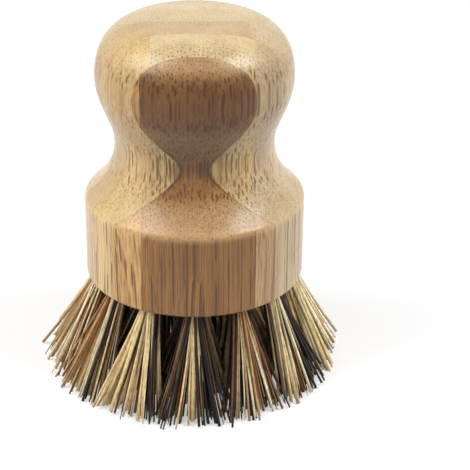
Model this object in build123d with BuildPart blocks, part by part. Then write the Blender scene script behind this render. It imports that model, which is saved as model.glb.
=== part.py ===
from build123d import *
from math import cos, radians, sin
import os

os.makedirs("parts", exist_ok=True)

# A round palm brush: a turned knob of laminated bamboo over four rings of stapled fibre tufts.
# Millimetres, +Z up. The brush stands on its bristle tips at z = 0, with its axis on Z and the
# front, where the narrowest glued ply shows, towards -Y

# Handle, as turned
bristle_height = 22.0
handle_height = 58.0
base_diameter = 48.0
wall_height = 17.5
rim_round = 2.0
rim_turn = 50.0
waist_share = 0.719
waist_rise = 31.0
knob_share = 0.883
knob_rise = 45.9
flare_start_share = 0.34
flare_end_share = 0.49
shoulder_start_share = 0.335
shoulder_end_share = 0.41
crown_side_share = 0.73
crown_top_share = 0.53
crown_flat_share = 0.425

# Turned bands along each curve of the outline
rim_bands = 1
flare_bands = 3
shoulder_bands = 3
crown_bands = 5

# Laminated blank: plies glued face to face along Y, strips glued edge to edge along X
ply_count = 7
blank_allowance = 3.8
stack_offset = 1.5
seam_shares = (
    (-0.463, 0.533),
    (-0.375, 0.508),
    (-0.542, 0.471),
    (-0.292, 0.688),
    (0.063,),
    (-0.100,),
    (),
)
overrun = 2.0

# Holes and the plugs in them
hole_diameter = 4.2
hole_depth = 8.0
plug_clearance = 0.12
plug_recess = 0.5
fold_gap = 0.2
hole_sides = 8
ring_margin = 4.2
middle_ring_share = 0.65
inner_ring_share = 0.325
inner_tilt = 6.0
middle_tilt = 15.0
outer_tilt = 23.5

# Strands: three-sided, straight, fanned out from the plug to their tips
strand_width = 0.6
strand_bury = 0.6
trim_depth = 0.5
tip_step = 0.35
tip_steps = 5
centre_spread = 3.4
inner_spread = 3.4
inner_side_spread = 5.2
middle_spread = 4.2
middle_side_spread = 5.8
outer_spread = 2.6
outer_side_spread = 5.8
twist_step = 137.5

# Flat wire staples
wire_thickness = 0.45
wire_width = 1.2
staple_inset = 0.4
leg_bite = 3.4
wire_clearance = 0.04

# Heights and radii worked out from the driving sizes
base_z = bristle_height
wall_top_z = base_z + wall_height
waist_z = base_z + waist_rise
knob_z = base_z + knob_rise
top_z = base_z + handle_height
base_radius = base_diameter / 2
waist_radius = base_radius * waist_share
knob_radius = base_radius * knob_share
flat_radius = knob_radius * crown_flat_share
ply_thickness = (base_diameter + blank_allowance) / ply_count
outer_ring_radius = base_radius - ring_margin
middle_ring_radius = outer_ring_radius * middle_ring_share
inner_ring_radius = outer_ring_radius * inner_ring_share

# Each bundle is folded over its staple's crown, between the staple's legs
staple_width = hole_diameter - 2 * staple_inset
leg_offset = (staple_width - wire_thickness) / 2
leg_end_depth = hole_depth + leg_bite
plug_radius = hole_diameter / 2 - plug_clearance
plug_width = staple_width - 2 * wire_thickness - 2 * wire_clearance
fold_depth = hole_depth - fold_gap
crown_centre = fold_depth - plug_radius
crown_depth = crown_centre - wire_thickness / 2

# Strands of one tuft: how many stand on each oval, and how far out as a share of the bundle
strand_oval_shares = ((1, 0.0), (4, 0.52), (7, 1.0))
strand_field_share = 0.72

# Rings: name, tufts, radius at the mouths, outward tilt, spread of the tips out and sideways
rings = (
    ("centre", 1, 0.0, 0.0, centre_spread, centre_spread),
    ("inner", 4, inner_ring_radius, inner_tilt, inner_spread, inner_side_spread),
    ("middle", 8, middle_ring_radius, middle_tilt, middle_spread, middle_side_spread),
    ("outer", 13, outer_ring_radius, outer_tilt, outer_spread, outer_side_spread),
)


def mouth_plane(radius, tilt, angle):
    """The plane of a hole's mouth: Z points out along the bristles, X runs round the ring."""
    out = Vector(cos(radians(angle)), sin(radians(angle)), 0)
    around = Vector(-sin(radians(angle)), cos(radians(angle)), 0)
    along = out * sin(radians(tilt)) - Vector(0, 0, cos(radians(tilt)))
    return Plane(origin=out * radius + Vector(0, 0, base_z), x_dir=around, z_dir=along)


def ring_planes(ring):
    """The mouth planes of one ring, evenly spaced, the first one towards -Y."""
    name, count, radius, tilt, spread, side_spread = ring
    return [mouth_plane(radius, tilt, 360 * i / count - 90) for i in range(count)]


def bands(curve, count):
    """Points that cut a curve of the outline into even bands, without the curve's start."""
    return [curve @ (i / count) for i in range(1, count + 1)]


# The turned outline: rim, flare, shoulder and crown are curves, turned as narrow conical bands
rim = CenterArc((base_radius - rim_round, wall_top_z), rim_round, 0, rim_turn)
flare_rise = waist_z - wall_top_z - rim_round
flare = Bezier(
    rim @ 1,
    rim @ 1 + rim % 1 * flare_rise * flare_start_share,
    (waist_radius, waist_z - flare_rise * flare_end_share),
    (waist_radius, waist_z),
)
shoulder_rise = knob_z - waist_z
shoulder = Bezier(
    (waist_radius, waist_z),
    (waist_radius, waist_z + shoulder_rise * shoulder_start_share),
    (knob_radius, knob_z - shoulder_rise * shoulder_end_share),
    (knob_radius, knob_z),
)
crown = Bezier(
    (knob_radius, knob_z),
    (knob_radius, knob_z + (top_z - knob_z) * crown_side_share),
    (flat_radius + (knob_radius - flat_radius) * crown_top_share, top_z),
    (flat_radius, top_z),
)

mouths = [plane for ring in rings for plane in ring_planes(ring)]

# Turned block, bored for the tufts and for the staples' legs, before it is parted into strips
with BuildPart() as block:
    with BuildSketch(Plane.XZ):
        with BuildLine():
            Polyline(
                (0, base_z),
                (base_radius, base_z),
                (base_radius, wall_top_z),
                *bands(rim, rim_bands),
                *bands(flare, flare_bands),
                *bands(shoulder, shoulder_bands),
                *bands(crown, crown_bands),
                (0, top_z),
                close=True,
            )
        make_face()
    revolve(axis=Axis.Z)
    with BuildSketch(*[mouth.offset(overrun) for mouth in mouths]):
        RegularPolygon(hole_diameter / 2, hole_sides)
    extrude(amount=-hole_depth - overrun, mode=Mode.SUBTRACT)
    with Locations(*mouths):
        slot_start = hole_depth - overrun
        slot_length = leg_end_depth + wire_clearance - slot_start
        with Locations((-leg_offset, 0, -slot_start), (leg_offset, 0, -slot_start)):
            Box(
                wire_thickness + 2 * wire_clearance,
                wire_width + 2 * wire_clearance,
                slot_length,
                align=(Align.CENTER, Align.CENTER, Align.MAX),
                mode=Mode.SUBTRACT,
            )


def cut_strip(label, x_range, y_range, z_range):
    """One glued strip: what of the turned block lies between its glue planes."""
    corner = Vector(x_range[0], y_range[0], z_range[0])
    with BuildPart() as strip:
        add(block.part)
        with BuildSketch(Plane(origin=corner)):
            Rectangle(x_range[1] - x_range[0], y_range[1] - y_range[0], align=(Align.MIN, Align.MIN))
        extrude(amount=z_range[1] - z_range[0], mode=Mode.INTERSECT)
    strip.part.label = label
    export_step(strip.part, f"parts/{label}.step")


# Strips of each ply, left to right. At the waist the turning goes right through the outermost ones,
# which leaves one piece of them on the base and another on the knob
edge = base_radius + overrun
low = base_z - overrun
high = top_z + overrun
side_names = {1: ("",), 2: ("left_", "right_"), 3: ("left_", "middle_", "right_")}
turned_through = ("ply_1_left_strip", "ply_7_strip")
for ply in range(ply_count):
    front = -edge if ply == 0 else stack_offset + (ply - ply_count / 2) * ply_thickness
    back = edge if ply == ply_count - 1 else stack_offset + (ply + 1 - ply_count / 2) * ply_thickness
    seams = [-edge] + [base_radius * share for share in seam_shares[ply]] + [edge]
    for side, left, right in zip(side_names[len(seams) - 1], seams, seams[1:]):
        label = f"ply_{ply + 1}_{side}strip"
        if label in turned_through:
            cut_strip(f"{label}_base", (left, right), (front, back), (low, waist_z))
            cut_strip(f"{label}_knob", (left, right), (front, back), (waist_z, high))
        else:
            cut_strip(label, (left, right), (front, back), (low, high))


def tuft_strands(ring, mouth, turn):
    """The three-sided strands of one tuft, from inside its plug to their tips."""
    name, count, radius, tilt, spread, side_spread = ring
    out = Vector(mouth.y_dir.X, mouth.y_dir.Y, 0).normalized()
    strands = []
    for oval, (number, share) in enumerate(strand_oval_shares):
        for i in range(number):
            angle = radians(turn + 360 * (i + oval / 2) / number)
            across = mouth.x_dir * cos(angle)
            up = mouth.y_dir * sin(angle)
            spot = (across * plug_width / 2 + up * plug_radius) * strand_field_share * share
            root = mouth.origin + spot - mouth.z_dir * (plug_recess + strand_bury)
            tip_z = ((i * 3 + oval) % tip_steps) * tip_step - trim_depth
            centre = mouth.origin + mouth.z_dir * ((base_z - tip_z) / cos(radians(tilt)))
            tip = centre + (across * side_spread + out * spread * sin(angle)) * share
            with BuildPart() as strand:
                with BuildSketch(Plane(origin=root, x_dir=across + up, z_dir=tip - root)):
                    Triangle(a=strand_width, b=strand_width, c=strand_width)
                extrude(amount=(tip - root).length)
            strands.append(strand.part)
    return strands


def make_tuft(label, ring, mouth, turn):
    """A bundle folded over its staple's crown, with its strands trimmed flat at the floor."""
    strands = tuft_strands(ring, mouth, turn)
    with BuildPart() as tuft:
        with BuildSketch(mouth.offset(-plug_recess)):
            with BuildLine():
                Polyline(
                    (plug_width / 2, -plug_width / 2),
                    (plug_width / 2, plug_width / 2),
                    (0, plug_radius),
                    (-plug_width / 2, plug_width / 2),
                    (-plug_width / 2, -plug_width / 2),
                    (0, -plug_radius),
                    close=True,
                )
            make_face()
        extrude(amount=plug_recess - fold_depth)
        with BuildSketch(Plane(origin=mouth.origin, x_dir=mouth.y_dir, z_dir=mouth.x_dir)):
            with BuildLine():
                Polyline(
                    (-plug_radius, 0),
                    (-plug_radius, -crown_centre),
                    (-plug_radius / 2, -fold_depth),
                    (plug_radius / 2, -fold_depth),
                    (plug_radius, -crown_centre),
                    (plug_radius, 0),
                    close=True,
                )
            make_face()
        extrude(amount=plug_radius, both=True, mode=Mode.INTERSECT)
        with Locations(mouth):
            with Locations((0, 0, -crown_centre)):
                tunnel_width = wire_width + 2 * wire_clearance
                tunnel_height = wire_thickness + 2 * wire_clearance
                Box(staple_width, tunnel_width, tunnel_height, mode=Mode.SUBTRACT)
        add(strands)
        split(bisect_by=Plane.XY, keep=Keep.TOP)
    tuft.part.label = label
    export_step(tuft.part, f"parts/{label}.step")


# Tufts, numbered round each ring from the front
turn = 0.0
for ring in rings:
    for i, mouth in enumerate(ring_planes(ring)):
        label = f"{ring[0]}_tuft_{i + 1}" if ring[1] > 1 else f"{ring[0]}_tuft"
        make_tuft(label, ring, mouth, turn)
        turn += twist_step

# Staples of flat wire, one over each fold, with chisel points driven past the hole's bottom
for label, ring_names in (
    ("inner_staples", ("centre", "inner")),
    ("middle_staples", ("middle",)),
    ("outer_staples", ("outer",)),
):
    with BuildPart() as staples:
        for mouth in [plane for ring in rings if ring[0] in ring_names for plane in ring_planes(ring)]:
            with BuildSketch(Plane(origin=mouth.origin, x_dir=mouth.x_dir, z_dir=-mouth.y_dir)):
                with BuildLine():
                    Polyline(
                        (0, -crown_depth),
                        (staple_width / 2, -crown_depth),
                        (staple_width / 2, wire_width - leg_end_depth),
                        (staple_width / 2 - wire_thickness, -leg_end_depth),
                        (staple_width / 2 - wire_thickness, -crown_depth - wire_thickness),
                        (0, -crown_depth - wire_thickness),
                    )
                    mirror(about=Plane.YZ)
                make_face()
        extrude(amount=wire_width / 2, both=True)
    staples.part.label = label
    export_step(staples.part, f"parts/{label}.step")
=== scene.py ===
import math
from collections import namedtuple

import bmesh
import bpy
import numpy as np
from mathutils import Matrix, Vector


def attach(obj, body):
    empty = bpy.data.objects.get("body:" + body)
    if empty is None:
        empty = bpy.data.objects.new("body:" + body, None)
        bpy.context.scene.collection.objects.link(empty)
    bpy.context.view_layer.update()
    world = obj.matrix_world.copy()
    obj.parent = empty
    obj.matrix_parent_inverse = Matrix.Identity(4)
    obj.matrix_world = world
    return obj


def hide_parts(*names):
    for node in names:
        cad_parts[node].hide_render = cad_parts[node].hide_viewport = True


# Looks of a palm brush: a turned knob of laminated bamboo over rings of plant-fibre tufts. Sizes are in
# millimetres until a mesh is made. The handle's axis is Z, and the front of the brush is towards -Y.

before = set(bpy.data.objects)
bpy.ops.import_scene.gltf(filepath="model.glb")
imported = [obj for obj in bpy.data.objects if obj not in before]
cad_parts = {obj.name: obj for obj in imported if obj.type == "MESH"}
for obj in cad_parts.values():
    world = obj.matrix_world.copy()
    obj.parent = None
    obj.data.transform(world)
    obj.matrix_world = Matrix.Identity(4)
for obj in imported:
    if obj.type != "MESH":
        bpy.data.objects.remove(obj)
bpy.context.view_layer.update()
MM = 0.001
rng = np.random.default_rng(41)

# the turned handle: heights above the bristle tips, and radii
BASE_Z = 22.0
WALL_TOP = 39.5
WAIST_Z = 53.0
KNOB_Z = 67.9
TOP_Z = 80.0
BASE_R = 24.0
WAIST_R = BASE_R * 0.719
KNOB_R = BASE_R * 0.883
FLAT_R = KNOB_R * 0.425
HEEL_ROUND = 0.7
RIM_ROUND = 2.0
RIM_TURN = math.radians(50)

# how far each curve keeps to the direction of its ends, as shares of its rise, or of the crown's width
FLARE_PULL = (0.34, 0.49)
SHOULDER_PULL = (0.335, 0.41)
CROWN_PULL = (0.73, 0.53)

# points on the outline's stretches, and round the axis
HEEL_POINTS = 6
WALL_POINTS = 8
RIM_POINTS = 9
CURVE_POINTS = 26
CROWN_POINTS = 32
FLAT_ROWS = (0.6, 0.25)
AROUND = 256
SHARP_EDGE = math.radians(32)

# The plies stand face to face along Y, together a little wider than the base and a little behind its middle.
# Each ply's seams are at these shares of the base's radius along X.
PLIES = 7
BLANK_SPARE = 3.8
PLY = (2 * BASE_R + BLANK_SPARE) / PLIES
PLY_SHIFT = 1.5
SEAMS = ((-0.463, 0.533), (-0.375, 0.508), (-0.542, 0.471), (-0.292, 0.688), (0.063,), (-0.100,), ())
SIDES = (("",), ("left_", "right_"), ("left_", "middle_", "right_"))
# the waist's turning goes right through these, which leaves a piece on the base and one on the knob
TURNED_THROUGH = ("ply_1_left_strip", "ply_7_strip")
# past the handle's outside in every direction
FAR = 60.0

# the tuft holes: radius of the ring of mouths, lean in degrees, how far the tips fan outward and sideways
HOLE_R = 2.1
HOLE_DEPTH = 8.0
DRILL_OVERRUN = 2
DRILL_SIDES = 28
OUTER_R = BASE_R - 4.2
Ring = namedtuple("Ring", "name tufts radius lean out_fan side_fan fibres")
RINGS = (
    Ring("centre", 1, 0.0, 0.0, out_fan=4.4, side_fan=4.4, fibres=80),
    Ring("inner", 4, OUTER_R * 0.325, 6.0, out_fan=4.6, side_fan=6.4, fibres=90),
    Ring("middle", 8, OUTER_R * 0.65, 15.0, out_fan=4.8, side_fan=9.2, fibres=115),
    Ring("outer", 13, OUTER_R, 23.5, out_fan=3.0, side_fan=7.2, fibres=105),
)
Hole = namedtuple("Hole", "mouth along side away")


# shapes of the handle
def add(name, data):
    """A new object that holds the mesh, lamp or camera, linked to the scene."""
    thing = bpy.data.objects.new(name, data)
    bpy.context.scene.collection.objects.link(thing)
    return thing


def arc(radius, height, corner, start, end, count):
    """Rows of a rounded edge at angles t: radius - corner + corner cos t, height + corner sin t."""
    t = np.linspace(start, end, count)
    return np.stack([radius - corner + corner * np.cos(t), height + corner * np.sin(t)], 1)


def bezier(a, b, c, d, count):
    """Cubic curve (1-t)^3 a + 3(1-t)^2 t b + 3(1-t) t^2 c + t^3 d, without its start."""
    t = np.linspace(0, 1, count + 1)[1:, None]
    a, b, c, d = (np.asarray(p, float) for p in (a, b, c, d))
    return (1 - t) ** 3 * a + 3 * (1 - t) ** 2 * t * b + 3 * (1 - t) * t**2 * c + t**3 * d


def flare_curve(start):
    """From the rim, in the direction that its round ends in, up to the waist, where it is upright."""
    rise = WAIST_Z - WALL_TOP - RIM_ROUND
    leaving = np.array([-math.sin(RIM_TURN), math.cos(RIM_TURN)])
    low, high = FLARE_PULL
    arriving = (WAIST_R, WAIST_Z - rise * high)
    return bezier(start, start + leaving * rise * low, arriving, (WAIST_R, WAIST_Z), CURVE_POINTS)


def shoulder_curve():
    """From the waist out to the knob's widest height, upright at both ends."""
    rise = KNOB_Z - WAIST_Z
    low, high = SHOULDER_PULL
    leaving = (WAIST_R, WAIST_Z + rise * low)
    arriving = (KNOB_R, KNOB_Z - rise * high)
    return bezier((WAIST_R, WAIST_Z), leaving, arriving, (KNOB_R, KNOB_Z), CURVE_POINTS)


def crown_curve():
    """From the knob's widest height, upright, over to the flat, level, and in over the flat."""
    rise = TOP_Z - KNOB_Z
    low, high = CROWN_PULL
    leaving = (KNOB_R, KNOB_Z + rise * low)
    arriving = (FLAT_R + (KNOB_R - FLAT_R) * high, TOP_Z)
    crown = bezier((KNOB_R, KNOB_Z), leaving, arriving, (FLAT_R, TOP_Z), CROWN_POINTS)
    return np.concatenate([crown, [[FLAT_R * share, TOP_Z] for share in FLAT_ROWS]])


def handle_outline():
    """Rows (radius, height) of the turned outline, from the heel up to near the crown's middle."""
    heel = arc(BASE_R, BASE_Z + HEEL_ROUND, HEEL_ROUND, -math.pi / 2, 0, HEEL_POINTS)
    wall = [[BASE_R, z] for z in np.linspace(BASE_Z + HEEL_ROUND, WALL_TOP, WALL_POINTS)[1:-1]]
    rim = arc(BASE_R, WALL_TOP, RIM_ROUND, 0, RIM_TURN, RIM_POINTS)
    return np.concatenate([heel, wall, rim, flare_curve(rim[-1]), shoulder_curve(), crown_curve()])


def tube_faces(rows, around):
    """Four-sided faces between the neighbouring rings of a tube, and three-sided ones that close its first
    and last rings on two middle points, which follow the rings' own points."""
    i = np.arange(around)
    j = (i + 1) % around
    row = (np.arange(rows - 1) * around)[:, None]
    walls = np.stack([row + i, row + j, row + j + around, row + i + around], -1).reshape(-1, 4)
    last = (rows - 1) * around
    middle = rows * around
    first_end = np.stack([j, i, np.full(around, middle)], 1)
    last_end = np.stack([last + i, last + j, np.full(around, middle + 1)], 1)
    return walls, np.concatenate([first_end, last_end])


def turned_block():
    """The outline carried round Z: x = r cos u, y = r sin u, z = z, with one point closing each end."""
    rows = handle_outline()
    u = np.arange(AROUND) * 2 * math.pi / AROUND
    points = np.empty((len(rows), AROUND, 3))
    points[..., :2] = rows[:, None, :1] * np.stack([np.cos(u), np.sin(u)], 1)
    points[..., 2] = rows[:, None, 1]
    points = np.concatenate([points.reshape(-1, 3), [[0, 0, BASE_Z], [0, 0, TOP_Z]]]) * MM
    walls, ends = tube_faces(len(rows), AROUND)
    mesh = bpy.data.meshes.new("turned_block")
    mesh.from_pydata(points.tolist(), [], walls.tolist() + ends.tolist())
    return mesh


def hole_frames(ring):
    """Each hole of a ring: the middle of its mouth, and three directions at right angles, along the bristles,
    round the ring and away from the handle's axis."""
    lean = math.radians(ring.lean)
    for i in range(ring.tufts):
        a = math.radians(360 * i / ring.tufts - 90)
        out = np.array([math.cos(a), math.sin(a), 0.0])
        side = np.array([-math.sin(a), math.cos(a), 0.0])
        along = out * math.sin(lean) - np.array([0, 0, math.cos(lean)])
        yield Hole(out * ring.radius + [0, 0, BASE_Z], along, side, np.cross(along, side))


def drill():
    """All the hole cutters as one mesh: a prism along each hole, from outside its mouth to its bottom."""
    i = np.arange(DRILL_SIDES)
    u = i * 2 * math.pi / DRILL_SIDES
    walls = tube_faces(2, DRILL_SIDES)[0]
    points, faces = [], []
    for hole in [hole for ring in RINGS for hole in hole_frames(ring)]:
        start = len(points) * 2 * DRILL_SIDES
        circle = HOLE_R * (np.cos(u)[:, None] * hole.side + np.sin(u)[:, None] * hole.away)
        outside = hole.mouth + hole.along * DRILL_OVERRUN + circle
        bottom = hole.mouth - hole.along * HOLE_DEPTH + circle
        points.append(np.concatenate([outside, bottom]))
        faces += (start + walls).tolist()
        faces += [(start + i[::-1]).tolist(), (start + DRILL_SIDES + i).tolist()]
    mesh = bpy.data.meshes.new("drill")
    mesh.from_pydata((np.concatenate(points) * MM).tolist(), [], faces)
    bm = bmesh.new()
    bm.from_mesh(mesh)
    bmesh.ops.recalc_face_normals(bm, faces=bm.faces)
    bm.to_mesh(mesh)
    bm.free()
    return mesh


def saw(bm, axis, at, way):
    """Takes away what lies past a plane square to the axis, on the side of way, and closes the cut."""
    place, normal = [0, 0, 0], [0, 0, 0]
    place[axis] = at * MM
    normal[axis] = way
    everything = bm.verts[:] + bm.edges[:] + bm.faces[:]
    cut = bmesh.ops.bisect_plane(
        bm, geom=everything, dist=1e-8, plane_co=place, plane_no=normal, clear_outer=True
    )
    edges = [e for e in cut["geom_cut"] if isinstance(e, bmesh.types.BMEdge) and e.is_boundary]
    bmesh.ops.holes_fill(bm, edges=edges, sides=0)


def sawn(block, bounds):
    """The part of the block between the planes of one strip, closed on each of them."""
    bm = bmesh.new()
    bm.from_mesh(block)
    for axis, (low, high) in enumerate(bounds):
        for at, way in ((low, -1), (high, 1)):
            if abs(at) < FAR:
                saw(bm, axis, at, way)
    bmesh.ops.recalc_face_normals(bm, faces=bm.faces)
    mesh = bpy.data.meshes.new("strip")
    bm.to_mesh(mesh)
    bm.free()
    return mesh


def glue_plane(plies):
    """Y of the glue plane behind that many plies, counted from the front."""
    return PLY_SHIFT + (plies - PLIES / 2) * PLY


# finishes
def tinted(colour, factors):
    """The colour times one factor, or one each for red, green and blue, and never past 1."""
    return tuple(np.minimum(np.multiply(colour, factors), 1.0))


class Nodes:
    """Short words for building the nodes of one material or of the world."""

    def __init__(self, owner, shader):
        owner.use_nodes = True
        self.owner = owner
        self.tree = owner.node_tree
        self.shader = self.tree.nodes[shader]

    def new(self, kind, **values):
        node = self.tree.nodes.new(kind)
        for key, value in values.items():
            setattr(node, key, value)
        return node

    def feed(self, socket, value):
        """Links another node's socket, or sets a plain number, vector or colour. None leaves it as it is."""
        if isinstance(value, bpy.types.NodeSocket):
            self.tree.links.new(value, socket)
        elif value is not None:
            socket.default_value = value

    def shade(self, name, value):
        """Feeds the shader's own socket of that name."""
        self.feed(self.shader.inputs[name], value)

    def math(self, what, a, b=None, c=None, clamp=False):
        node = self.new("ShaderNodeMath", operation=what, use_clamp=clamp)
        for socket, value in zip(node.inputs, (a, b, c)):
            self.feed(socket, value)
        return node.outputs[0]

    def times(self, a, b):
        return self.math("MULTIPLY", a, b)

    def vector(self, what, *values):
        """values worked on together as X, Y, Z or as red, green, blue."""
        node = self.new("ShaderNodeVectorMath", operation=what)
        for socket, value in zip(node.inputs, values):
            self.feed(socket, value)
        return node.outputs[0]

    def scaled(self, vector, factors):
        return self.vector("MULTIPLY", vector, factors)

    def span(self, value, low, high, to_low=0.0, to_high=1.0):
        """value taken smoothly from low..high to to_low..to_high."""
        node = self.new("ShaderNodeMapRange", interpolation_type="SMOOTHSTEP")
        for socket, number in zip(node.inputs, (value, low, high, to_low, to_high)):
            self.feed(socket, number)
        return node.outputs[0]

    def band(self, value, rise, fall, top=1.0):
        """Nothing before the stretch rise, top between rise and fall, and nothing after fall."""
        return self.times(self.span(value, *rise), self.span(value, *fall, top, 0.0))

    def mix(self, amount, a, b):
        node = self.new("ShaderNodeMix", data_type="RGBA")
        self.feed(node.inputs[0], amount)
        self.feed(node.inputs[6], (*a, 1) if isinstance(a, tuple) else a)
        self.feed(node.inputs[7], (*b, 1) if isinstance(b, tuple) else b)
        return node.outputs[2]

    def noise(self, vector, scale=1.0, detail=2.0, rough=0.5, output="Fac"):
        node = self.new("ShaderNodeTexNoise")
        for key, value in (("Vector", vector), ("Scale", scale), ("Detail", detail), ("Roughness", rough)):
            self.feed(node.inputs[key], value)
        return node.outputs[output]

    def millimetres(self):
        """The place on the piece, in millimetres."""
        return self.scaled(self.new("ShaderNodeTexCoord").outputs["Object"], (1000, 1000, 1000))

    def apart(self, vector):
        node = self.new("ShaderNodeSeparateXYZ")
        self.feed(node.inputs[0], vector)
        return node.outputs

    def seen(self):
        """1 where the camera, a mirror or glass looks, and 0 where light is gathered."""
        path = self.new("ShaderNodeLightPath")
        mirror = self.math("MAXIMUM", path.outputs["Is Camera Ray"], path.outputs["Is Glossy Ray"])
        return self.math("MAXIMUM", mirror, path.outputs["Is Transmission Ray"])


def finish(name):
    return Nodes(bpy.data.materials.new(name), "Principled BSDF")


# heights over which the looks of the wood change, each as where it sets in and where it ends
WALL_END = (WALL_TOP - 0.3, WALL_TOP + 1.3)
WAIST_BAND = ((WAIST_Z - 8.5, WAIST_Z - 5.0), (WAIST_Z + 2.0, WAIST_Z + 5.5))
KNOB_BAND = ((KNOB_Z - 7.4, KNOB_Z - 3.9), (KNOB_Z + 4.6, KNOB_Z + 8.1))
# the band of the painted highlight along the turned rim
RIM_HIGHLIGHT_BAND = ((WALL_TOP - 0.6, WALL_TOP + 0.7), (WALL_TOP + 1.3, WALL_TOP + 3.1))
# the band of painted shade, from about the waist up to below the knob's crown
PAINTED_KNOB_SHADE_BAND = ((WAIST_Z - 7.0, WAIST_Z + 5.0), (KNOB_Z + 4.1, KNOB_Z + 8.6))
GLUE_FADE = (WAIST_Z + 5.0, KNOB_Z + 2.1)

# What tells one strip from another: its paler and deeper tone, how strong its fibre bundles are and how far
# apart, at which face of the ply they lie close (1 back, -1 front), its tint where the surface runs along the
# fibres, how much painted shade darkens the knob below its crown, the grain's slant, how dark the glue lines
# are, and how much wider the lone bundles are.
Look = namedtuple(
    "Look",
    "pale deep dots spacing dense_side along dusk slant glue streaks",
    defaults=(0.7, 0.95, 0, None, 0.0, 0.0, 0.5, 0.0),
)

# the deeper tone is tinted for the bundles and the long grain lines, and the bundles' colour for the glue
BUNDLE_TINT = (0.40, 0.28, 0.18)
LINE_TINT = (0.80, 0.68, 0.56)
GLUE_TINT = 0.3
# the tint of the painted shade on the waist and knob
PAINTED_KNOB_SHADE_TINT = (0.42, 0.34, 0.22)
# steps by which the pattern is moved from strip to strip, and what a slanted grain turns about
PATTERN_STEP = (7.3, 3.1, 41.0)
SLANT_CENTRE = (-14, 0, 30)


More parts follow.
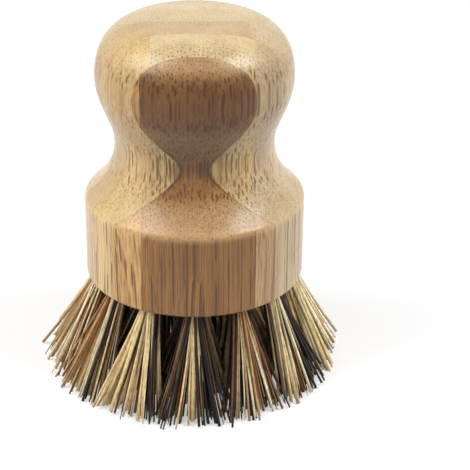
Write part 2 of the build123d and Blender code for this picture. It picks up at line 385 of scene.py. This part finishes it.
class Bamboo(Nodes):
    """Bamboo sawn along its fibres. The fibre bundles run up Z, as the dark cells of a flat Voronoi pattern in
    X and Y that wanders a little with height: dots where the turning cuts them across, streaks where it
    runs with them."""

    def __init__(self, name, look, shift):
        super().__init__(bpy.data.materials.new(name), "Principled BSDF")
        self.look = look
        self.mm = self.millimetres()
        self.x, y, self.z = self.apart(self.mm)

        # each strip shows a stretch of the pattern of its own
        moved = [shift * step for step in PATTERN_STEP]
        self.blank = self.vector("ADD", self.mm, moved)
        if look.slant:
            turned = self.new("ShaderNodeVectorRotate", rotation_type="Y_AXIS")
            self.feed(turned.inputs["Vector"], self.blank)
            self.feed(turned.inputs["Center"], [a + b for a, b in zip(moved, SLANT_CENTRE)])
            self.feed(turned.inputs["Angle"], look.slant)
            self.blank = turned.outputs[0]
        wander = self.noise(self.scaled(self.blank, (0.12, 0.12, 0.05)), detail=1.5, output="Color")
        self.fibres = self.vector("MULTIPLY_ADD", wander, (0.9, 1.6, 0.0), self.blank)
        self.fine = self.noise(self.scaled(self.fibres, (3.4, 3.4, 0.07)), detail=4.0, rough=0.7)

        # where the turned surface runs along the fibres: the wall, the waist and the knob's side
        upper = self.math("MAXIMUM", self.band(self.z, *WAIST_BAND), self.band(self.z, *KNOB_BAND))
        self.side = self.math("MAXIMUM", self.span(self.z, *WALL_END, 1.0, 0.0), upper)

        # how many plies deep a place is from the front, and how near the culm's skin within its own ply
        self.depth = self.math("DIVIDE", self.math("SUBTRACT", y, glue_plane(0)), PLY)
        self.skin = None
        if look.dense_side:
            self.skin = self.math("FRACT", self.depth)
        if look.dense_side < 0:
            self.skin = self.math("SUBTRACT", 1.0, self.skin)

    def bundles(self, gap, low, high, wider=0.0):
        """Bundles a gap apart, each with its own strength. Their size goes from low near the culm's inside to
        high near its skin, with wider added where the surface runs along them."""
        cell = self.new("ShaderNodeTexVoronoi", feature="F1", voronoi_dimensions="2D")
        self.feed(cell.inputs["Vector"], self.fibres)
        self.feed(cell.inputs["Scale"], 1 / gap)
        self.feed(cell.inputs["Randomness"], 0.62)
        size = self.span(self.skin, 0.1, 1.0, low, high) if self.skin else (low + high) / 2
        size = self.math("MULTIPLY_ADD", self.side, wider, size)
        dot = self.span(self.math("SUBTRACT", size, cell.outputs["Distance"]), -0.03, 0.08)
        own = self.new("ShaderNodeSeparateColor")
        self.feed(own.inputs[0], cell.outputs["Color"])
        return self.times(dot, self.span(own.outputs[0], 0.0, 0.7, 0.5, 1.0))

    def bundle_strength(self):
        """Coarse bundles that break off along their length, small ones between them, and a few lone thick
        ones, which show as long dark lines on the wall. The strongest at a place counts."""
        look = self.look
        breaks = self.noise(self.scaled(self.blank, (0.9, 0.9, 0.13)), detail=1.0)
        least = self.math("MULTIPLY_ADD", self.side, -0.58, 0.8)
        coarse = self.bundles(look.spacing, 0.15, 0.27, wider=0.09)
        coarse = self.times(coarse, self.span(breaks, 0.38, 0.56, least, 1.0))
        small = self.times(self.bundles(look.spacing * 0.47, 0.18, 0.30), 0.6)
        strength = self.math("MAXIMUM", coarse, small)
        # they are dark near the culm's skin and pale near its inside
        if self.skin:
            strength = self.times(strength, self.span(self.skin, 0.05, 0.8, 0.22, 1.0))
        stronger = self.math("MULTIPLY_ADD", self.side, look.dots * 0.55, look.dots)
        strength = self.math("MULTIPLY", strength, stronger, clamp=True)
        lone = self.bundles(look.spacing * 1.5, 0.12, 0.16, wider=0.06 + look.streaks)
        lone = self.times(self.times(lone, self.side), min(1.0, 0.35 + look.dots * 0.8))
        return self.math("MAXIMUM", strength, lone)

    def grain(self):
        """Fine grain and slow changes between the deeper and the paler tone, with long darker lines."""
        look = self.look
        broad = self.noise(self.scaled(self.blank, (0.20, 0.20, 0.03)))
        tone = self.math("ADD", self.times(self.fine, 0.55), self.times(broad, 0.45))
        contrast = self.math("MULTIPLY_ADD", self.side, 0.17, 0.45)
        from_middle = self.math("SUBTRACT", self.span(tone, 0.41, 0.59), 0.5)
        shade = self.math("MULTIPLY_ADD", from_middle, contrast, 0.5)
        body = self.mix(shade, tinted(look.deep, 0.86), look.pale)
        line = self.noise(self.scaled(self.fibres, (1.0, 1.0, 0.02)), detail=1.5)
        body = self.mix(self.span(line, 0.54, 0.64, 0.0, 0.38), body, tinted(look.deep, LINE_TINT))
        if look.along:
            body = self.mix(self.side, body, self.scaled(body, look.along))
        return body

    def glue_lines(self, seams):
        """Thin lines by the nearest glue plane and the nearest seam, clearest about the waist."""
        glue = self.look.glue
        from_plane = self.times(self.math("PINGPONG", self.depth, 0.5), PLY)
        line = self.span(from_plane, 0.04, 0.14, glue, 0.0)
        if seams:
            from_seam = 1.0
            for seam in seams:
                gap = self.math("ABSOLUTE", self.math("SUBTRACT", self.x, seam))
                from_seam = self.math("MINIMUM", from_seam, gap)
            line = self.math("MAXIMUM", line, self.span(from_seam, 0.03, 0.12, glue * 0.3, 0.0))
        line = self.times(line, self.span(self.z, *GLUE_FADE, 1.0, 0.35))
        return self.times(line, self.span(self.noise(self.mm, scale=0.4), 0.35, 0.6, 0.5, 1.0))


def bamboo(name, look, seams, shift):
    """One strip's finish in layers: grain, bundles, painted shade on the knob, glue lines, and a painted
    highlight on the rim.
    """
    n = Bamboo(name, look, shift)
    bundles = n.bundle_strength()
    bundle_colour = tinted(look.deep, BUNDLE_TINT)
    body = n.mix(bundles, n.grain(), bundle_colour)
    # painted shade: the waist and the knob below its crown are darkened by the strip's own amount
    if look.dusk:
        dusk = n.times(n.band(n.z, *PAINTED_KNOB_SHADE_BAND), look.dusk)
        body = n.mix(dusk, body, n.scaled(body, PAINTED_KNOB_SHADE_TINT))
    body = n.mix(n.glue_lines(seams), body, tinted(bundle_colour, GLUE_TINT))
    # painted highlight: a paler band along the turned rim
    body = n.mix(n.band(n.z, *RIM_HIGHLIGHT_BAND, top=0.22), body, tinted(look.pale, 1.15))
    bump = n.new("ShaderNodeBump")
    n.feed(bump.inputs["Strength"], 0.25)
    n.feed(bump.inputs["Distance"], 0.12 * MM)
    n.feed(bump.inputs["Height"], n.math("SUBTRACT", n.times(n.fine, 0.4), n.times(bundles, 0.7)))
    n.shade("Base Color", body)
    n.shade("Roughness", n.span(n.fine, 0.2, 0.8, 0.22, 0.33))
    n.shade("Specular IOR Level", 0.44)
    n.shade("Normal", bump.outputs[0])
    return n.owner


def fibre_finish():
    """Stiff plant fibre: each strand's own colour, mottled along its length."""
    n = finish("bristle_fibre")
    colour = n.new("ShaderNodeAttribute", attribute_name="fibre_colour")
    mottle = n.noise(n.scaled(n.millimetres(), (1.6, 1.6, 0.45)), detail=3.0, rough=0.6)
    tone = n.new("ShaderNodeVectorMath", operation="SCALE")
    n.feed(tone.inputs[0], colour.outputs["Color"])
    n.feed(tone.inputs["Scale"], n.span(mottle, 0.3, 0.7, 0.72, 1.12))
    n.shade("Base Color", tone.outputs[0])
    n.shade("Roughness", 0.48)
    n.shade("Specular IOR Level", 0.22)
    return n.owner


def wire_finish():
    """Plain flat wire, drawn along its length."""
    n = finish("staple_steel")
    drawn = n.noise(n.scaled(n.millimetres(), (6.0, 6.0, 0.6)))
    n.shade("Base Color", n.mix(drawn, (0.40, 0.40, 0.39), (0.62, 0.62, 0.60)))
    n.shade("Metallic", 1.0)
    n.shade("Roughness", n.span(drawn, 0.3, 0.7, 0.32, 0.46))
    return n.owner


# the handle, strip by strip
LOOKS = {
    "ply_1_left": Look(
        (0.61, 0.38, 0.15), (0.44, 0.235, 0.072), dots=0.75, along=(1.08, 1.07, 1.07), dusk=0.3, slant=0.09,
        glue=0.25,
    ),
    "ply_1_middle": Look(
        (0.50, 0.31, 0.135), (0.335, 0.19, 0.075), dots=0.85, spacing=0.8, along=(0.79, 0.62, 0.41),
        dusk=0.81, glue=0.7, streaks=0.05,
    ),
    "ply_1_right": Look((0.55, 0.355, 0.175), (0.40, 0.24, 0.108), dots=0.62, dusk=0.3, glue=0.4),
    "ply_2_left": Look(
        (0.64, 0.47, 0.215), (0.52, 0.345, 0.135), dots=0.62, along=(1.10, 1.08, 1.14), dusk=0.3, glue=0.55,
    ),
    "ply_2_middle": Look(
        (0.64, 0.51, 0.29), (0.53, 0.39, 0.19), dots=0.85, spacing=0.85, dense_side=-1,
        along=(0.98, 0.88, 0.74), dusk=0.3, glue=0.7,
    ),
    "ply_2_right": Look((0.56, 0.425, 0.25), (0.43, 0.31, 0.165), dots=0.62, dusk=0.35, glue=0.55),
    "ply_3_left": Look((0.575, 0.405, 0.205), (0.485, 0.325, 0.145), dots=0.45, dense_side=1, dusk=0.2),
    "ply_3_middle": Look((0.555, 0.385, 0.195), (0.465, 0.305, 0.14), dots=0.45, dense_side=1),
    "ply_3_right": Look((0.59, 0.45, 0.27), (0.49, 0.355, 0.195), dots=0.5, dense_side=-1, dusk=0.2),
    "ply_4": Look((0.615, 0.48, 0.26), (0.535, 0.39, 0.195), dots=0.4, dense_side=-1),
    "ply_5": Look((0.655, 0.52, 0.32), (0.56, 0.415, 0.23), dots=0.45, dense_side=1),
    "ply_6": Look((0.64, 0.48, 0.27), (0.52, 0.36, 0.175), dots=0.45, dense_side=-1),
    "ply_7": Look((0.58, 0.42, 0.23), (0.46, 0.31, 0.15), dots=0.65),
}


def bored(strip, cutter):
    """The strip's mesh with the tuft holes taken out of it."""
    holes = strip.modifiers.new("holes", "BOOLEAN")
    holes.operation = "DIFFERENCE"
    holes.solver = "EXACT"
    holes.object = cutter
    view = bpy.context.evaluated_depsgraph_get()
    mesh = bpy.data.meshes.new_from_object(strip.evaluated_get(view))
    strip.modifiers.clear()
    return mesh


def strip_look(label):
    """A strip's own look, or its ply's."""
    words = label.split("_strip")[0]
    return LOOKS.get(words) or LOOKS[words.rsplit("_", 1)[0]]


def make_strip(label, ply, bounds, seams, block, cutter):
    """One strip, sawn from the block, bored where it reaches the base's underside, and finished."""
    strip = add(label, sawn(block, bounds))
    if bounds[2][0] < BASE_Z:
        strip.data = bored(strip, cutter)
    strip.data.name = label
    strip.data.shade_smooth()
    strip.data.set_sharp_from_angle(angle=SHARP_EDGE)
    # names of other lengths give the strips of a ply other stretches of the pattern
    shift = len(label) * 1.7 + ply
    strip.data.materials.clear()
    strip.data.materials.append(bamboo("bamboo_" + label, strip_look(label), seams, shift))
    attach(strip, "root")
    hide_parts(label)


block = turned_block()
cutter = add("drill", drill())
for ply, shares in enumerate(SEAMS, start=1):
    front = -FAR if ply == 1 else glue_plane(ply - 1)
    back = FAR if ply == PLIES else glue_plane(ply)
    seams = [BASE_R * share for share in shares]
    for side, left, right in zip(SIDES[len(seams)], [-FAR, *seams], [*seams, FAR]):
        label = f"ply_{ply}_{side}strip"
        heights = {"": (-FAR, FAR)}
        if label in TURNED_THROUGH:
            heights = {"_base": (-FAR, WAIST_Z), "_knob": (WAIST_Z, FAR)}
        for end, height in heights.items():
            make_strip(label + end, ply, ((left, right), (front, back), height), seams, block, cutter)
bpy.data.objects.remove(cutter)

# the bristles: the fibres' shades and radii, and the share of each shade in a tuft of each mix
SHADES = np.array(
    [
        [0.84, 0.65, 0.34],
        [0.93, 0.83, 0.575],
        [0.58, 0.48, 0.30],
        [0.54, 0.32, 0.135],
        [0.22, 0.092, 0.038],
        [0.028, 0.020, 0.016],
    ]
)
FIBRE_R = np.array([0.38, 0.34, 0.27, 0.31, 0.30, 0.27])
MIXES = {
    "mixed": (0.26, 0.20, 0.10, 0.09, 0.11, 0.24),
    "pale": (0.36, 0.21, 0.06, 0.17, 0.08, 0.12),
    "parted": (0.38, 0.08, 0.02, 0.04, 0.10, 0.38),
    "dark": (0.12, 0.12, 0.10, 0.04, 0.14, 0.48),
    "black": (0.05, 0.08, 0.08, 0.03, 0.15, 0.61),
    "tan": (0.40, 0.26, 0.03, 0.14, 0.11, 0.06),
}
# the centre, inner and middle tufts take the dark mix: partly their own black fibres, partly painted shade for
# the dark inside of the brush
RING_MIX = {"centre": "dark", "inner": "dark", "middle": "dark", "outer": "mixed"}
# the front tufts 1 and 2 take the black and dark mixes: partly their own black fibres, partly painted shade in
# the gaps between the front tufts
TUFT_MIX = {
    "outer_tuft_1": "black",
    "outer_tuft_2": "dark",
    "outer_tuft_4": "pale",
    "outer_tuft_10": "tan",
    "outer_tuft_11": "tan",
    "outer_tuft_12": "tan",
    "outer_tuft_13": "parted",
}

# clumps of one shade in a tuft, how far out they may be, and the share of fibres that keep to their clump's
CLUMPS = 9
CLUMP_REACH = 0.9
IN_CLUMP = 0.62
# fibres are thinner or thicker than their shade's radius, by these factors in these shares
GIRTHS = (0.45, 0.8, 1.0, 1.35)
GIRTH_SHARES = (0.14, 0.28, 0.34, 0.24)
GOLDEN_ANGLE = 2.39996

# room left between the fibres and the hole, how deep in it they start, and the height that they fan out to
HOLE_PLAY = 0.12
START_DEPTH = 3.0
FAN_Z = 0.4
# scatter of the fan, sweep of all the tips towards -X, and how far a fibre sways from its curve
TIP_SCATTER = 0.8
TIP_SWEEP = 0.7
SWAY = 0.16
# the tips are trimmed a little unevenly, and a few fibres are shorter
TRIM_SCATTER = 0.55
TRIM_LEAST = 0.05
SHORT_SHARE = 0.12
SHORT_BY = (0.5, 3.0)
# the lowest that a fibre's middle line goes, then its section and the points on its curve
LOWEST = 0.04
SIDES_OF_FIBRE = 5
FLATTEST = 0.55
TIP_GIRTH = 0.9
STEPS = 5


def fibre_spots(fibres):
    """Places spread evenly over a unit disc: the k-th is at radius sqrt((k + 0.5) / fibres), turned on by the
    golden angle from the one before. Gives how far each is round the ring and away from the handle's axis."""
    k = np.arange(fibres)
    radius = np.sqrt((k + 0.5) / fibres)
    turn = k * GOLDEN_ANGLE + rng.uniform(0, 6.28)
    return radius * np.cos(turn), radius * np.sin(turn)


def fibre_shades(mix, round_ring, outward):
    """Each fibre's row in SHADES. Most have the shade of the clump whose middle is nearest, so that
    neighbours are mostly alike."""
    mix = np.array(mix)
    shares = mix / mix.sum()
    clumps = rng.choice(len(SHADES), CLUMPS, p=shares)
    middles = rng.uniform(-CLUMP_REACH, CLUMP_REACH, (CLUMPS, 2))
    apart = (round_ring[:, None] - middles[:, 0]) ** 2 + (outward[:, None] - middles[:, 1]) ** 2
    nearest = np.argmin(apart, 1)
    keeps = rng.random(len(nearest)) < IN_CLUMP
    stray = rng.choice(len(SHADES), len(nearest), p=shares)
    return np.where(keeps, clumps[nearest], stray)


def fibre_tips(hole, ring, spot, straight, round_ring, outward):
    """Each fibre heads from its spot for its place in the fan, which is the end of the hole's own way,
    moved round the ring and outward. The tip is where that line is trimmed, near the floor."""
    out = np.array([hole.away[0], hole.away[1], 0.0])
    out = out / np.linalg.norm(out)
    # spread evenly round the ring at the tips, so that the tufts close up into one skirt
    even = round_ring / np.sqrt(1.0 - np.minimum(outward * outward, 0.98))
    fan = np.clip(even, -1.0, 1.0) * ring.side_fan + rng.normal(0, TIP_SCATTER, ring.fibres)
    drop = outward * ring.out_fan + rng.normal(0, TIP_SCATTER, ring.fibres)
    low = hole.mouth + straight + hole.side * fan[:, None] + out * drop[:, None]
    ends = np.abs(rng.normal(0, TRIM_SCATTER, ring.fibres)) + TRIM_LEAST
    short = rng.random(ring.fibres) < SHORT_SHARE
    ends = np.where(short, ends + rng.uniform(*SHORT_BY, ring.fibres), ends)
    way = low - spot
    return spot + way * ((spot[:, 2] - ends) / -way[:, 2])[:, None] - [TIP_SWEEP, 0, 0]


def fibre_paths(hole, ring, radius, round_ring, outward):
    """Middle lines of the fibres, from inside the hole to the tips. Below the mouth each is the curve
    (1-s)^2 a + 2 s (1-s) b + s^2 c, where a is its spot at the mouth, c its tip, and b half way between them,
    moved a tenth of the way to where the hole's own direction leads, with a sway that grows from a to c."""
    room = (HOLE_R - HOLE_PLAY - radius)[:, None]
    spot = hole.mouth + room * (round_ring[:, None] * hole.side + outward[:, None] * hole.away)
    straight = hole.along * ((BASE_Z - FAN_Z) / math.cos(math.radians(ring.lean)))
    tip = fibre_tips(hole, ring, spot, straight, round_ring, outward)
    knee = spot + 0.5 * (tip - spot) + 0.10 * (straight - (tip - spot))
    s = np.linspace(0, 1, STEPS)[None, :, None]
    path = (1 - s) ** 2 * spot[:, None] + 2 * s * (1 - s) * knee[:, None] + s**2 * tip[:, None]
    amount = rng.normal(0, SWAY, (ring.fibres, 1, 3))
    sway = amount * np.sin(math.pi * s * rng.uniform(0.7, 1.3, (ring.fibres, 1, 1)))
    path = path + sway * s
    path[..., 2] = np.maximum(path[..., 2], LOWEST)
    return np.concatenate([(spot - hole.along * START_DEPTH)[:, None], path], 1)


def fibre_tubes(path, radius, hole):
    """Points of a flat five-sided tube round each path: path + r (cos u first + flat sin u second), where
    first and second stand square to the path, and then the path's two ends, on which the tube closes."""
    fibres = len(path)
    heading = np.gradient(path, axis=1)
    heading /= np.linalg.norm(heading, axis=2, keepdims=True)
    spin = rng.uniform(0, math.pi, fibres)
    first = np.cos(spin)[:, None] * hole.side + np.sin(spin)[:, None] * hole.away
    first = first[:, None] - heading * (heading * first[:, None]).sum(2, keepdims=True)
    first /= np.linalg.norm(first, axis=2, keepdims=True)
    second = np.cross(heading, first)
    u = np.arange(SIDES_OF_FIBRE) * 2 * math.pi / SIDES_OF_FIBRE
    flat = rng.uniform(FLATTEST, 1.0, fibres)[:, None, None, None]
    across = np.cos(u)[:, None] * first[:, :, None] + flat * np.sin(u)[:, None] * second[:, :, None]
    taper = np.linspace(1.0, TIP_GIRTH, STEPS + 1)
    rings = path[:, :, None] + (radius[:, None] * taper)[:, :, None, None] * across
    points = np.concatenate([rings.reshape(fibres, -1, 3), path[:, :1], path[:, -1:]], 1)
    points[..., 2] = np.maximum(points[..., 2], 0.0)
    return points


def tuft_mesh(label, hole, ring):
    """One tuft's fibres as separate closed tubes, with each fibre's colour as an attribute."""
    round_ring, outward = fibre_spots(ring.fibres)
    pick = fibre_shades(MIXES[TUFT_MIX.get(label, RING_MIX[ring.name])], round_ring, outward)
    radius = FIBRE_R[pick] * rng.choice(GIRTHS, ring.fibres, p=GIRTH_SHARES)
    points = fibre_tubes(fibre_paths(hole, ring, radius, round_ring, outward), radius, hole)
    walls, ends = tube_faces(STEPS + 1, SIDES_OF_FIBRE)
    each = points.shape[1]
    starts = (np.arange(ring.fibres) * each)[:, None, None]
    faces = (walls + starts).reshape(-1, 4).tolist() + (ends + starts).reshape(-1, 3).tolist()
    mesh = bpy.data.meshes.new(label + "_fibres")
    mesh.from_pydata((points.reshape(-1, 3) * MM).tolist(), [], faces)
    colour = SHADES[pick] * rng.uniform(0.78, 1.18, (ring.fibres, 1))
    colour = np.concatenate([colour, np.ones((ring.fibres, 1))], 1)
    layer = mesh.color_attributes.new("fibre_colour", "FLOAT_COLOR", "POINT")
    layer.data.foreach_set("color", np.repeat(colour, each, axis=0).ravel())
    mesh.shade_smooth()
    return mesh


fibre = fibre_finish()
for ring in RINGS:
    for i, hole in enumerate(hole_frames(ring), start=1):
        label = f"{ring.name}_tuft_{i}" if ring.tufts > 1 else f"{ring.name}_tuft"
        tuft = add(label + "_fibres", tuft_mesh(label, hole, ring))
        tuft.data.materials.append(fibre)
        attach(tuft, "root")
        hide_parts(label)

wire = wire_finish()
for label in ("inner_staples", "middle_staples", "outer_staples"):
    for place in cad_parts[label].material_slots:
        place.material = wire

# floor and background: white to the camera and in reflections, and a plain pale light on the brush
FLOOR_REACH = 3000.0
FLOOR_COLOUR = (0.55, 0.55, 0.555, 1)
FLOOR_GLOW = 0.465
SKY_LIGHT = 0.28
corners = [(x * FLOOR_REACH * MM, y * FLOOR_REACH * MM, 0) for x, y in ((-1, -1), (1, -1), (1, 1), (-1, 1))]
floor_mesh = bpy.data.meshes.new("floor")
floor_mesh.from_pydata(corners, [], [(0, 1, 2, 3)])
floor = add("floor", floor_mesh)
paper = finish("pale_floor")
paper.shade("Base Color", FLOOR_COLOUR)
paper.shade("Roughness", 0.9)
paper.shade("Specular IOR Level", 0.0)
paper.shade("Emission Color", (1, 1, 1, 1))
paper.shade("Emission Strength", paper.times(paper.seen(), FLOOR_GLOW))
floor.data.materials.append(paper.owner)

sky = Nodes(bpy.data.worlds.new("studio"), "Background")
sky.shade("Color", (1, 1, 1, 1))
sky.shade("Strength", sky.span(sky.seen(), 0.0, 1.0, SKY_LIGHT, 1.0))
bpy.context.scene.world = sky.owner


# lamps and camera
def stand(name, data, place, target):
    """Adds a lamp or camera at its place, with its -Z towards the target and its Y kept up."""
    thing = add(name, data)
    thing.location = [length * MM for length in place]
    way = Vector([length * MM for length in target]) - thing.location
    thing.rotation_euler = way.to_track_quat("-Z", "Y").to_euler()
    return thing


LAMP_TARGET = (0, 0, 50)


def softbox(name, azimuth, elevation, distance, size, watts, mirrored=True):
    """An area lamp that looks at the brush, azimuth from the front towards +X."""
    a, e = math.radians(azimuth), math.radians(elevation)
    way = np.array([math.sin(a) * math.cos(e), -math.cos(a) * math.cos(e), math.sin(e)])
    data = bpy.data.lights.new(name, "AREA")
    data.shape = "RECTANGLE"
    data.size, data.size_y = (length * MM for length in size)
    data.energy = watts
    lamp = stand(name, data, way * distance + LAMP_TARGET, LAMP_TARGET)
    lamp.visible_glossy = mirrored


softbox("left_softbox", -72, 48, 520, (300, 320), 1.8)
softbox("right_softbox", 73, 48, 520, (190, 220), 1.65)
softbox("left_low_softbox", -88, 10, 1500, (1250, 1000), 14.5, mirrored=False)
softbox("right_low_softbox", 88, 10, 1500, (1250, 1000), 10.2, mirrored=False)
softbox("top_softbox", 0, 72, 700, (500, 500), 0.35)

# the camera stands in front and above, and its shift puts its target at this pixel of the square picture
PICTURE = 470
TARGET_PIXEL = (194.6, 187.6)
CAMERA_TARGET = (0, 0, 41)
CAMERA_PLACE = (0, -299.3, 182.9)
camera_data = bpy.data.cameras.new("camera")
camera_data.lens = 115.97
camera_data.sensor_width = 36.0
camera_data.clip_end = 20
camera_data.shift_x = (PICTURE / 2 - TARGET_PIXEL[0]) / PICTURE
camera_data.shift_y = (TARGET_PIXEL[1] - PICTURE / 2) / PICTURE
bpy.context.scene.camera = stand("camera", camera_data, CAMERA_PLACE, CAMERA_TARGET)
bpy.context.scene.view_settings.view_transform = "Standard"
